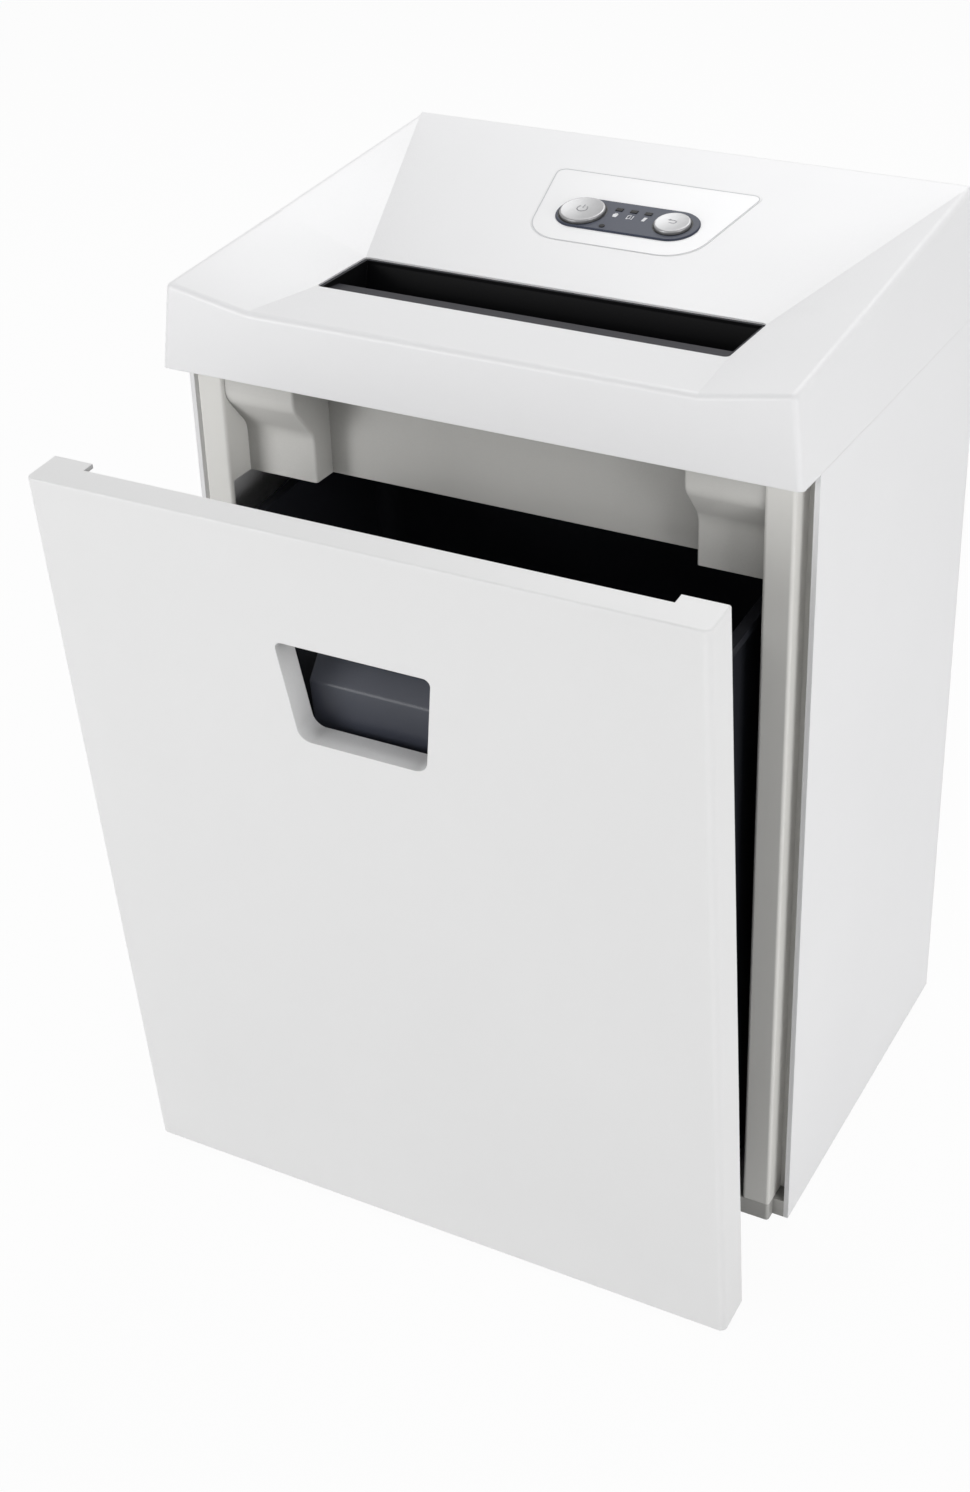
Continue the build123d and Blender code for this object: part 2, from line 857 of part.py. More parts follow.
def compound_gear():
    """Small gear driven against the drive gear and large gear against the pinion, in one piece."""
    small = gear(small_teeth, drive_module, drive_gear_x, large_gear_x - drive_gear_x,
                 compound_y, compound_z, mesh_phase(compound_angle, small_teeth))
    large = gear(large_teeth, pinion_module, large_gear_x, large_gear_width, compound_y, compound_z,
                 pinion_angle)
    bore = rod_x(drive_gear_x, large_gear_x + large_gear_width, compound_y, compound_z,
                 shaft_radius + shaft_fit)
    return small + large - bore


def gear_stud():
    stud = rod_x(plate_inner_x, stud_end, compound_y, compound_z, shaft_radius)
    return stud + rod_x(stud_end - stud_head, stud_end, compound_y, compound_z, stud_head_radius)


def motor():
    """Motor can behind the right cutter plate, with a boss in the plate's hole."""
    can = rod_x(plate_inner_x - motor_length, plate_inner_x, pinion_y, pinion_z, motor_radius)
    can = fillet(can.edges().sort_by(Axis.X)[0], motor_round)
    can += rod_x(plate_inner_x, plate_outer_x, pinion_y, pinion_z, motor_boss_radius)
    return can - rod_x(plate_outer_x - motor_shaft_depth - gap, plate_outer_x, pinion_y, pinion_z,
                       motor_shaft_radius + shaft_fit)


def motor_bracket():
    """Saddle on the tray under the back end of the motor."""
    saddle = block(bracket_x, bracket_x + bracket_width, pinion_y - motor_radius - bracket_margin,
                   pinion_y + motor_radius + bracket_margin, tray_top, pinion_z)
    return saddle - rod_x(bracket_x, bracket_x + bracket_width, pinion_y, pinion_z, motor_radius)


def motor_pinion():
    """Motor shaft with the pinion cut on its end."""
    shaft = rod_x(plate_outer_x - motor_shaft_depth, large_gear_x, pinion_y, pinion_z,
                  motor_shaft_radius)
    return shaft + gear(pinion_teeth, pinion_module, large_gear_x, large_gear_width, pinion_y, pinion_z,
                        mesh_phase(pinion_angle, pinion_teeth))


# Electrics


def power_board():
    x0 = power_board_x - power_board_length / 2
    x1 = power_board_x + power_board_length / 2
    y0 = power_board_y - power_board_depth / 2
    y1 = power_board_y + power_board_depth / 2
    top = power_board_z + board_thickness
    board = block(x0, x1, y0, y1, power_board_z, top)
    for x in (x0 + standoff_inset, x1 - standoff_inset):
        for y in (y0 + standoff_inset, y1 - standoff_inset):
            board += rod_z(x, y, tray_top, power_board_z, standoff_radius)
    board += block(power_board_x, power_board_x + coil_size, power_board_y - coil_size / 2,
                   power_board_y + coil_size / 2, top, top + coil_size)
    board += rod_z(x0 + 2 * capacitor_radius, power_board_y, top, top + capacitor_height,
                   capacitor_radius)
    return board


def mains_inlet():
    """Socket for a loose mains lead, set in the back panel."""
    inlet = block(inlet_x - inlet_half_x, inlet_x + inlet_half_x, back_y - inlet_depth, back_y,
                  inlet_z - inlet_half_z, inlet_z + inlet_half_z)
    inlet += block(inlet_x - inlet_half_x - inlet_flange, inlet_x + inlet_half_x + inlet_flange,
                   back_y, back_y + inlet_flange_thickness,
                   inlet_z - inlet_half_z - inlet_flange, inlet_z + inlet_half_z + inlet_flange)
    mouth_back = back_y + inlet_flange_thickness
    mouth_front = mouth_back - inlet_socket_depth
    inlet -= block(inlet_x - inlet_half_x + inlet_socket_wall, inlet_x + inlet_half_x - inlet_socket_wall,
                   mouth_front, mouth_back, inlet_z - inlet_half_z + inlet_socket_wall,
                   inlet_z + inlet_half_z - inlet_socket_wall)
    for index in (-1, 0, 1):
        x = inlet_x + index * pin_spacing
        inlet += block(x - pin_width / 2, x + pin_width / 2, mouth_front, mouth_front + pin_length,
                       inlet_z - pin_height / 2, inlet_z + pin_height / 2)
    return inlet


def door_switch():
    """Switch on the front of the left post, worked by a magnet in the front panel."""
    return block(switch_left_x, switch_left_x + switch_width, post_front_y - switch_depth, post_front_y,
                 switch_low, switch_high)


# Front panel and bin, in their closed place


def window_prism(margin, y0, y1):
    """Prism of the finger window, wider at the top."""
    face = rounded_trapezoid(window_low_half + margin, window_high_half + margin,
                             panel_low + window_low - margin, panel_low + window_high + margin,
                             window_low_round + margin, window_high_round + margin)
    return Pos(window_x, y1, 0) * extrude(Plane.XZ * face, y1 - y0)


def panel_bosses():
    """Where the panel is screwed to the bin."""
    return [(x, z) for x in (-boss_x, boss_x) for z in (boss_low_z, boss_high_z)]


def front_panel():
    flange_back = panel_front + panel_flange
    top = panel_low + panel_height
    panel = block(-panel_half, panel_half, panel_front, flange_back, panel_low, top)
    upright = edges_along(panel, Axis.Z, lambda centre: centre.Y < flange_back - gap)
    panel = fillet(upright, panel_edge_radius)
    front_outline = panel.faces().sort_by(Axis.Y)[0].edges().filter_by(Axis.X)
    panel = fillet(front_outline, panel_corner_radius)
    panel -= block(-panel_half + panel_flange_wall, panel_half - panel_flange_wall,
                   panel_front + panel_skin, flange_back,
                   panel_low + panel_flange_wall, top - panel_flange_wall)
    tab_x = panel_half - panel_tab_length
    panel -= block(-tab_x, tab_x, flange_back - panel_tab_step, flange_back,
                   top - 2 * panel_flange_wall, top)
    post_x = post_outer_x + panel_post_gap
    panel -= block(-post_x, post_x, panel_front + panel_low_flange, flange_back,
                   panel_low, panel_low + 2 * panel_flange_wall)
    panel += window_prism(window_wall, panel_front + panel_skin / 2, panel_front + window_depth)
    panel -= window_prism(0, panel_front, panel_front + window_depth)
    for x, z in panel_bosses():
        panel += rod_y(x, panel_front + panel_skin / 2, bin_front, z, boss_radius)
        panel -= rod_y(x, bin_front + bin_wall - screw_depth, bin_front, z, screw_radius)
    return panel


def door_magnet():
    """Magnet glued on the back of the front panel, beside the door switch."""
    x = magnet_x
    y = panel_front + panel_skin
    z = (switch_low + switch_high) / 2
    return block(x - magnet_size / 2, x + magnet_size / 2, y, y + magnet_size,
                 z - magnet_height / 2, z + magnet_height / 2)


def bin_box(inset, low, high):
    """Upright box of the bin's plan shape, with rounded corners at the back."""
    box = block(-bin_half + inset, bin_half - inset, bin_front + inset, bin_back - inset, low, high)
    upright = edges_along(box, Axis.Z, lambda centre: centre.Y > 0)
    return fillet(upright, bin_corner - inset)


def waste_bin():
    box = bin_box(0, bin_low, bin_high)
    box += bin_box(-bin_rim, bin_high - bin_rim_height, bin_high) & block(
        -half_width, half_width, bin_front, back_y, bin_low, bin_high)
    box -= bin_box(bin_wall, bin_low + bin_wall, bin_high)
    for x, z in panel_bosses():
        box -= rod_y(x, bin_front, bin_front + bin_wall, z, screw_radius)
    for side in (1, -1):
        x0, x1 = sorted((side * bin_lug_inner_x, side * bin_lug_outer_x))
        box += block(x0, x1, axle_y - lug_radius, axle_y + lug_radius, axle_z, bin_low)
        box += rod_x(x0, x1, axle_y, axle_z, lug_radius)
        box -= rod_x(x0, x1, axle_y, axle_z, axle_radius + axle_fit)
    return box


def bin_grip():
    """Moulded grip on the bin behind the finger window."""
    outline = [
        (bin_front, grip_low),
        (bin_front - grip_out, grip_low),
        (bin_front - grip_out, grip_crest),
        (bin_front, grip_back_top),
    ]
    grip = prism_x(outline, window_x - grip_half, window_x + grip_half)
    crest = edges_along(grip, Axis.X, lambda centre: abs(centre.Z - grip_crest) < gap)
    return fillet(crest, grip_round)


def panel_screw(x, z):
    """Screw from inside the bin into a boss of the front panel."""
    wall_back = bin_front + bin_wall
    shank = rod_y(x, wall_back - screw_depth, wall_back, z, screw_radius)
    return shank + rod_y(x, wall_back, wall_back + screw_head, z, screw_head_radius)


def bin_carriage():
    """Sled on the cabinet floor with the axle that the bin tips on."""
    sled = block(-carriage_half, carriage_half, carriage_front_y, carriage_back_y,
                 carriage_low, carriage_high)
    for side in (1, -1):
        x0, x1 = sorted((side * carriage_lug_inner_x, side * carriage_lug_outer_x))
        sled += block(x0, x1, axle_y - lug_radius, axle_y + lug_radius, carriage_high, axle_z)
        sled += rod_x(x0, x1, axle_y, axle_z, lug_radius)
        pin_x0, pin_x1 = sorted((side * carriage_lug_inner_x, side * axle_end_x))
        sled += rod_x(pin_x0, pin_x1, axle_y, axle_z, axle_radius)
    return sled


def bin_rail():
    """Right rail on the cabinet floor that keeps the carriage straight."""
    return block(rail_inner_x, rail_outer_x, rail_front_y, rail_back_y, base_top, rail_high)


def make_parts():
    """Every piece by its name, where it is in the photograph."""
    gear_end_x = sync_gear_x + gear_width
    parts = {
        "hood": hood(),
        "label_plate": label_plate(),
        "control_panel": control_panel(),
        "status_lens": status_lens(),
        "sensor_window": sensor_window(),
        "power_button": button(-pill_spacing / 2, power_radius),
        "reverse_button": button(pill_spacing / 2, reverse_radius),
        "control_board": control_board(),
        "right_side_panel": side_panel(),
        "left_side_panel": other_side(side_panel()),
        "back_panel": back_panel(),
        "base_plate": base_plate(),
        "right_front_post": front_post(),
        "left_front_post": other_side(front_post()),
        "front_sill": front_sill(),
        "inner_front_wall": inner_front_wall(),
        "right_guide_block": guide_block(),
        "left_guide_block": other_side(guide_block()),
        "head_tray": head_tray(),
        "feed_chute": feed_chute(),
        "left_cutter_plate": cutter_plate(-1),
        "right_cutter_plate": cutter_plate(1),
        "front_tie_rod": tie_rod(tie_rod_front_y),
        "rear_tie_rod": tie_rod(tie_rod_back_y),
        "front_stripper": stripper(front_axis_y, 1, -disc_pitch / 4),
        "rear_stripper": stripper(rear_axis_y, -1, disc_pitch / 4),
        "front_cutter_roller": cutter_roller(front_axis_y, -disc_pitch / 4, gear_end_x),
        "rear_cutter_roller": cutter_roller(rear_axis_y, disc_pitch / 4, drive_gear_x + gear_width),
        "front_sync_gear": front_sync_gear(),
        "rear_sync_gear": rear_sync_gear(),
        "drive_gear": drive_gear(),
        "compound_gear": compound_gear(),
        "gear_stud": gear_stud(),
        "motor": motor(),
        "motor_bracket": motor_bracket(),
        "motor_pinion": motor_pinion(),
        "power_board": power_board(),
        "mains_inlet": mains_inlet(),
        "door_switch": door_switch(),
        "right_bin_rest": bin_rest(),
        "left_bin_rest": other_side(bin_rest()),
        "right_bin_rail": bin_rail(),
        "left_bin_rail": other_side(bin_rail()),
        "bin_carriage": carriage_place * bin_carriage(),
        "waste_bin": tip_place * waste_bin(),
        "bin_grip": tip_place * bin_grip(),
        "front_panel": tip_place * front_panel(),
        "door_magnet": tip_place * door_magnet(),
    }
    for side, side_name in ((-1, "left"), (1, "right")):
        for y, row in ((front_axis_y, "front"), (rear_axis_y, "rear")):
            parts[f"{side_name}_{row}_bearing"] = roller_bearing(side, y)
    for name, (x, y) in foot_places().items():
        parts[name] = foot(x, y)
    for index, (x, z) in enumerate(panel_bosses(), start=1):
        parts[f"panel_screw_{index}"] = tip_place * panel_screw(x, z)
    return parts


def middle_y(parts):
    """Middle of the whole along Y."""
    boxes = [shape.bounding_box() for shape in parts.values()]
    return (min(box.min.Y for box in boxes) + max(box.max.Y for box in boxes)) / 2


os.makedirs("parts", exist_ok=True)
all_parts = make_parts()
to_origin = Pos(0, -middle_y(all_parts), 0)
print("moved along Y by", round(-middle_y(all_parts), 4))
for part_name, part_shape in all_parts.items():
    export_step(to_origin * part_shape, f"parts/{part_name}.step")
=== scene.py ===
import bpy
import bmesh
import json
import math
from mathutils import Matrix, Vector


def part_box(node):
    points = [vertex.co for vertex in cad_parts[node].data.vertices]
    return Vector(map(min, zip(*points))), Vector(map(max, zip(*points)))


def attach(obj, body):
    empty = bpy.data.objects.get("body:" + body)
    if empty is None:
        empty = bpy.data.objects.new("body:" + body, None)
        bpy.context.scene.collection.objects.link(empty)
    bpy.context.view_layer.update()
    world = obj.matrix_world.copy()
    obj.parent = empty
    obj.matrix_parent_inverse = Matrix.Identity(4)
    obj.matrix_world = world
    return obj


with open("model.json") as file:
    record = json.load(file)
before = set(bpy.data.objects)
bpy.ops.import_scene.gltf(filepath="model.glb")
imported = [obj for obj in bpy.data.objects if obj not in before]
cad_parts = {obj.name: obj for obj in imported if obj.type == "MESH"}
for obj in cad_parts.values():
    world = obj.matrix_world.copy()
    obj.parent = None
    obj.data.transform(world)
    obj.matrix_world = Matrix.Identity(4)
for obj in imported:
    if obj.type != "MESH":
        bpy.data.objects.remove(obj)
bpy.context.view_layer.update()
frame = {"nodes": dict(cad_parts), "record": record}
nodes = frame["nodes"]
hood_low, hood_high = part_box("hood")
hood_middle_y = (hood_low.y + hood_high.y) / 2

# Photograph's view: angles in degrees, lengths in metres, picture places in pixels
PICTURE_WIDTH = 970
PICTURE_HEIGHT = 1492
VIEW_AZIMUTH = 26.861
VIEW_ELEVATION = 28.882
VIEW_ROLL = -0.626
VIEW_DISTANCE = 1.3738
VIEW_FOCAL = 2256.73
VIEW_CENTRE_X = 585.24
VIEW_CENTRE_Y = 633.22
VIEW_TARGET_HEIGHT = 0.300
SENSOR_WIDTH = 36.0

# Sizes on the object, in millimetres
MM = 0.001
DECK_FRONT = -27.5
DECK_FRONT_HEIGHT = 530.0
CONTROL_X = 5.0
CONTROL_RUN = 78.5
BUTTON_SPACING = 57.0
BUTTON_TOP = 3.4
POWER_RADIUS = 13.5
REVERSE_RADIUS = 10.8
GAP_WIDTH = 0.8
GAP_CLEAR = 0.3
PILL_TOP = 1.2
LABEL_TOP = 0.2
LABEL_CORNERS = [(51.5, 47.2), (67.0, 124.0), (-67.0, 124.0), (-51.5, 47.2)]
LABEL_ROUNDS = [24.0, 5.0, 5.0, 24.0]
LABEL_INSET = 0.985
LABEL_LINE = 0.7
LIGHT_X = 6.0
LIGHT_SPACING = 9.2
LIGHT_SIGN_RUN = 79.6
PRINT_RISE = 0.06
POWER_SIGN_RADIUS = 3.1
POWER_SIGN_OPENING = 76.0
POWER_SIGN_LINE = 0.55
POWER_BAR_LOW = 0.6
POWER_BAR_HIGH = 4.2
REVERSE_BEND = 1.5
REVERSE_BEND_X = 1.0
REVERSE_LINE = 0.5
REVERSE_TIP_X = -3.2
REVERSE_TIP_LENGTH = 1.6
REVERSE_TIP_HALF = 1.1
DOOR_LINE = 0.6
SCREW_INSET = 12.0
SCREW_RADIUS = 3.6
SCREW_HEIGHT = 1.8
INLET_DEPTH = 14.0
CONTACT_SPACING = 7.0
CONTACT_HALF_WIDTH = 1.15
CONTACT_HALF_HEIGHT = 2.15
CONTACT_LENGTH = 10.3
CONTACT_TAPER = 1.0
CONTACT_NARROWING = 0.4

# Round of moulded edges and of the grip's crest, which also sets the width of the painted edge highlight,
# and how far the painted crevice shade reaches, in metres
EDGE_ROUND = 0.0006
GRIP_ROUND = 0.002
CREVICE_SHADE_REACH = 0.06

# Grains for each metre of surface
SHELL_GRAIN = 1500.0
BIN_GRAIN = 1200.0
PANEL_GRAIN = 2000.0
FILM_GRAIN = 2500.0
LENS_GRAIN = 3000.0
PRINT_GRAIN = 4000.0
DRIFT_SCALE = 9.0
SMEAR_SCALE = 160.0

# Light: strength of the surroundings and of the floor's own white
SURROUND_LIGHT = 0.33
FLOOR_GLOW = 0.96
FLOOR_HALF_SIDE = 12.0

# Lamps: name, place, aim, size in metres and power in watts
LAMPS = [
    ("top_lamp", (-0.2, 1.3, 2.3), (0.0, 0.1, 0.5), 1.4, 27.5),
    ("right_lamp", (2.3, -0.85, 0.7), (0.19, 0.0, 0.25), 1.4, 26.0),
    ("front_lamp", (-1.6, -2.4, 0.75), (0.0, -0.1, 0.35), 1.3, 36.5),
]


def paint(red, green, blue):
    """Colour as it shows on a screen, from 0 to 255, as the light that a surface gives back."""
    values = []
    for level in (red, green, blue):
        share = level / 255.0
        values.append(share / 12.92 if share <= 0.04045 else ((share + 0.055) / 1.055) ** 2.4)
    return tuple(values)


# Shared surface effects


def new_group(name, inputs, outputs):
    """Empty shader node group with named sockets."""
    group = bpy.data.node_groups.new(name, "ShaderNodeTree")
    for socket_name, kind, value in inputs:
        socket = group.interface.new_socket(socket_name, in_out="INPUT", socket_type=kind)
        socket.default_value = value
    for socket_name, kind in outputs:
        group.interface.new_socket(socket_name, in_out="OUTPUT", socket_type=kind)
    return group, group.nodes.new("NodeGroupInput"), group.nodes.new("NodeGroupOutput")


def add_math(group, operation, first, second):
    """Math node between two sockets or plain numbers."""
    node = group.nodes.new("ShaderNodeMath")
    node.operation = operation
    for socket, value in zip(node.inputs, (first, second)):
        if isinstance(value, (int, float)):
            socket.default_value = value
        else:
            group.links.new(value, socket)
    return node.outputs["Value"]


def make_moulded_grain():
    """Fine spark-eroded grain of moulded plastic, with slow changes of gloss and tone, and a painted
    highlight along its edges.
    """
    group, given, result = new_group(
        "moulded_grain",
        [("Colour", "NodeSocketColor", (0.8, 0.8, 0.8, 1.0)),
         ("Grain Scale", "NodeSocketFloat", 1800.0),
         ("Tone Change", "NodeSocketFloat", 0.03),
         ("Gloss Low", "NodeSocketFloat", 0.35),
         ("Gloss High", "NodeSocketFloat", 0.45),
         ("Edge", "NodeSocketFloat", 0.0),
         ("Painted Edge Highlight", "NodeSocketFloat", 0.0)],
        [("Colour", "NodeSocketColor"), ("Roughness", "NodeSocketFloat"), ("Height", "NodeSocketFloat")])
    add, link = group.nodes.new, group.links.new
    place = add("ShaderNodeTexCoord")
    grain = add("ShaderNodeTexNoise")
    grain.inputs["Detail"].default_value = 2.0
    link(place.outputs["Object"], grain.inputs["Vector"])
    link(given.outputs["Grain Scale"], grain.inputs["Scale"])
    link(grain.outputs["Fac"], result.inputs["Height"])
    drift = add("ShaderNodeTexNoise")
    drift.inputs["Scale"].default_value = DRIFT_SCALE
    drift.inputs["Detail"].default_value = 3.0
    link(place.outputs["Object"], drift.inputs["Vector"])
    gloss = add("ShaderNodeMapRange")
    link(drift.outputs["Fac"], gloss.inputs["Value"])
    link(given.outputs["Gloss Low"], gloss.inputs["To Min"])
    link(given.outputs["Gloss High"], gloss.inputs["To Max"])
    link(gloss.outputs["Result"], result.inputs["Roughness"])
    darker = add_math(group, "MULTIPLY", drift.outputs["Fac"], given.outputs["Tone Change"])
    edge_highlight = add_math(group, "MULTIPLY", given.outputs["Edge"], given.outputs["Painted Edge Highlight"])
    shade = add_math(group, "SUBTRACT", 1.0, darker)
    shade = add_math(group, "ADD", shade, edge_highlight)
    tone = add("ShaderNodeVectorMath")
    tone.operation = "SCALE"
    link(given.outputs["Colour"], tone.inputs[0])
    link(shade, tone.inputs["Scale"])
    link(tone.outputs["Vector"], result.inputs["Colour"])
    return group


def make_softened_edges():
    """Small rounding that a mould leaves on every edge, and a mask of where the edges are."""
    group, given, result = new_group(
        "softened_edges",
        [("Radius", "NodeSocketFloat", 0.0006)],
        [("Normal", "NodeSocketVector"), ("Edge", "NodeSocketFloat")])
    add, link = group.nodes.new, group.links.new
    rounded = add("ShaderNodeBevel")
    rounded.samples = 4
    link(given.outputs["Radius"], rounded.inputs["Radius"])
    link(rounded.outputs["Normal"], result.inputs["Normal"])
    surface = add("ShaderNodeNewGeometry")
    agree = add("ShaderNodeVectorMath")
    agree.operation = "DOT_PRODUCT"
    link(rounded.outputs["Normal"], agree.inputs[0])
    link(surface.outputs["Normal"], agree.inputs[1])
    turned = add_math(group, "SUBTRACT", 1.0, agree.outputs["Value"])
    edge = add("ShaderNodeMapRange")
    edge.inputs["From Max"].default_value = 0.2
    link(turned, edge.inputs["Value"])
    link(edge.outputs["Result"], result.inputs["Edge"])
    return group


def make_crevice_shade(name, own_faces_only):
    """Painted shade: darker base colour where other faces stand close, as in corners and recesses."""
    group, given, result = new_group(
        name,
        [("Colour", "NodeSocketColor", (0.8, 0.8, 0.8, 1.0)),
         ("Strength", "NodeSocketFloat", 0.5)],
        [("Colour", "NodeSocketColor")])
    add, link = group.nodes.new, group.links.new
    open_share = add("ShaderNodeAmbientOcclusion")
    open_share.samples = 6
    open_share.only_local = own_faces_only
    open_share.inputs["Distance"].default_value = CREVICE_SHADE_REACH
    closed = add_math(group, "SUBTRACT", 1.0, open_share.outputs["AO"])
    darker = add_math(group, "MULTIPLY", closed, given.outputs["Strength"])
    tone = add("ShaderNodeVectorMath")
    tone.operation = "SCALE"
    link(given.outputs["Colour"], tone.inputs[0])
    link(add_math(group, "SUBTRACT", 1.0, darker), tone.inputs["Scale"])
    link(tone.outputs["Vector"], result.inputs["Colour"])
    return group


def make_spun_rings():
    """Fine turned rings and a shallow dish about an axis, as on a spun metal cap."""
    group, given, result = new_group(
        "spun_rings",
        [("Colour", "NodeSocketColor", (0.5, 0.5, 0.5, 1.0)),
         ("Centre", "NodeSocketVector", (0.0, 0.0, 0.0)),
         ("Axis", "NodeSocketVector", (0.0, 0.0, 1.0)),
         ("Ring Pitch", "NodeSocketFloat", 0.0004),
         ("Ring Depth", "NodeSocketFloat", 0.000002),
         ("Dish", "NodeSocketFloat", 0.0)],
        [("Colour", "NodeSocketColor"), ("Roughness", "NodeSocketFloat"), ("Height", "NodeSocketFloat")])
    add, link = group.nodes.new, group.links.new
    place = add("ShaderNodeTexCoord")
    offset = add("ShaderNodeVectorMath")
    offset.operation = "SUBTRACT"
    link(place.outputs["Object"], offset.inputs[0])
    link(given.outputs["Centre"], offset.inputs[1])
    around = add("ShaderNodeVectorMath")
    around.operation = "CROSS_PRODUCT"
    link(offset.outputs["Vector"], around.inputs[0])
    link(given.outputs["Axis"], around.inputs[1])
    radius = add("ShaderNodeVectorMath")
    radius.operation = "LENGTH"
    link(around.outputs["Vector"], radius.inputs[0])
    reach = radius.outputs["Value"]
    turns = add_math(group, "DIVIDE", reach, given.outputs["Ring Pitch"])
    wave = add_math(group, "SINE", add_math(group, "MULTIPLY", turns, 2 * math.pi), 0.0)
    rings = add_math(group, "MULTIPLY", wave, given.outputs["Ring Depth"])
    square = add_math(group, "MULTIPLY", reach, reach)
    dish = add_math(group, "MULTIPLY", square, given.outputs["Dish"])
    link(add_math(group, "ADD", rings, dish), result.inputs["Height"])
    smear = add("ShaderNodeTexNoise")
    smear.inputs["Scale"].default_value = SMEAR_SCALE
    smear.inputs["Detail"].default_value = 4.0
    link(place.outputs["Object"], smear.inputs["Vector"])
    gloss = add("ShaderNodeMapRange")
    gloss.inputs["To Min"].default_value = 0.3
    gloss.inputs["To Max"].default_value = 0.42
    link(smear.outputs["Fac"], gloss.inputs["Value"])
    link(gloss.outputs["Result"], result.inputs["Roughness"])
    lighter = add_math(group, "MULTIPLY", smear.outputs["Fac"], 0.12)
    tone = add("ShaderNodeVectorMath")
    tone.operation = "SCALE"
    link(given.outputs["Colour"], tone.inputs[0])
    link(add_math(group, "ADD", lighter, 0.94), tone.inputs["Scale"])
    link(tone.outputs["Vector"], result.inputs["Colour"])
    return group


def make_ground_lines():
    """Long fine lines of ground or drawn metal along one direction."""
    group, given, result = new_group(
        "ground_lines",
        [("Colour", "NodeSocketColor", (0.5, 0.5, 0.5, 1.0)),
         ("Stretch", "NodeSocketVector", (40.0, 1500.0, 1500.0)),
         ("Gloss Low", "NodeSocketFloat", 0.22),
         ("Gloss High", "NodeSocketFloat", 0.42)],
        [("Colour", "NodeSocketColor"), ("Roughness", "NodeSocketFloat"), ("Height", "NodeSocketFloat")])
    add, link = group.nodes.new, group.links.new
    place = add("ShaderNodeTexCoord")
    stretch = add("ShaderNodeVectorMath")
    stretch.operation = "MULTIPLY"
    link(place.outputs["Object"], stretch.inputs[0])
    link(given.outputs["Stretch"], stretch.inputs[1])
    lines = add("ShaderNodeTexNoise")
    lines.inputs["Scale"].default_value = 1.0
    lines.inputs["Detail"].default_value = 3.0
    link(stretch.outputs["Vector"], lines.inputs["Vector"])
    link(lines.outputs["Fac"], result.inputs["Height"])
    gloss = add("ShaderNodeMapRange")
    link(lines.outputs["Fac"], gloss.inputs["Value"])
    link(given.outputs["Gloss Low"], gloss.inputs["To Min"])
    link(given.outputs["Gloss High"], gloss.inputs["To Max"])
    link(gloss.outputs["Result"], result.inputs["Roughness"])
    lighter = add_math(group, "MULTIPLY", lines.outputs["Fac"], 0.3)
    tone = add("ShaderNodeVectorMath")
    tone.operation = "SCALE"
    link(given.outputs["Colour"], tone.inputs[0])
    link(add_math(group, "ADD", lighter, 0.85), tone.inputs["Scale"])
    link(tone.outputs["Vector"], result.inputs["Colour"])
    return group


moulded_grain = make_moulded_grain()
softened_edges = make_softened_edges()
crevice_shade = make_crevice_shade("crevice_shade", True)
nook_shade = make_crevice_shade("nook_shade", False)
spun_rings = make_spun_rings()
ground_lines = make_ground_lines()


# Finishes


def plain_material(name, metallic=0.0, coat=0.0, specular=0.5):
    """Material with a Principled shader, and the shader itself."""
    material = bpy.data.materials.new(name)
    material.use_nodes = True
    shader = material.node_tree.nodes["Principled BSDF"]
    shader.inputs["Metallic"].default_value = metallic
    shader.inputs["Coat Weight"].default_value = coat
    shader.inputs["Specular IOR Level"].default_value = specular
    return material, shader


def place_group(material, group, values):
    """Group node in a material, with its own values."""
    node = material.node_tree.nodes.new("ShaderNodeGroup")
    node.node_tree = group
    for name, value in values.items():
        node.inputs[name].default_value = value
    return node


def connect_surface(material, shader, surface, strength, depth):
    """Feed a group's colour, roughness and height to the shader, and give back the bump node."""
    links = material.node_tree.links
    bump = material.node_tree.nodes.new("ShaderNodeBump")
    bump.inputs["Strength"].default_value = strength
    bump.inputs["Distance"].default_value = depth
    links.new(surface.outputs["Height"], bump.inputs["Height"])
    links.new(surface.outputs["Colour"], shader.inputs["Base Color"])
    links.new(surface.outputs["Roughness"], shader.inputs["Roughness"])
    links.new(bump.outputs["Normal"], shader.inputs["Normal"])
    return bump


def moulded_plastic(name, colour, scale, depth, gloss, tone=0.03, edge_highlight=0.05, shade_in_crevices=0.0,
                    shade_group=crevice_shade, corner_round=EDGE_ROUND, **shader_values):
    """Moulded plastic with its grain, softly rounded edges, a painted highlight along its edges and painted
    shade in its crevices.
    """
    material, shader = plain_material(name, **shader_values)
    surface = place_group(material, moulded_grain, {
        "Colour": (*colour, 1.0), "Grain Scale": scale, "Tone Change": tone,
        "Gloss Low": gloss[0], "Gloss High": gloss[1], "Painted Edge Highlight": edge_highlight})
    bump = connect_surface(material, shader, surface, 0.3, depth)
    links = material.node_tree.links
    corner = place_group(material, softened_edges, {"Radius": corner_round})
    links.new(corner.outputs["Edge"], surface.inputs["Edge"])
    links.new(corner.outputs["Normal"], bump.inputs["Normal"])
    if shade_in_crevices > 0.0:
        painted_shade = place_group(material, shade_group, {"Strength": shade_in_crevices})
        links.new(surface.outputs["Colour"], painted_shade.inputs["Colour"])
        links.new(painted_shade.outputs["Colour"], shader.inputs["Base Color"])
    return material


def add_fade(tree, value, start, end):
    """Smooth share that goes from 0 to 1 between two values."""
    fade = tree.nodes.new("ShaderNodeMapRange")
    fade.interpolation_type = "SMOOTHSTEP"
    fade.inputs["From Min"].default_value = start
    fade.inputs["From Max"].default_value = end
    tree.links.new(value, fade.inputs["Value"])
    return fade.outputs["Result"]


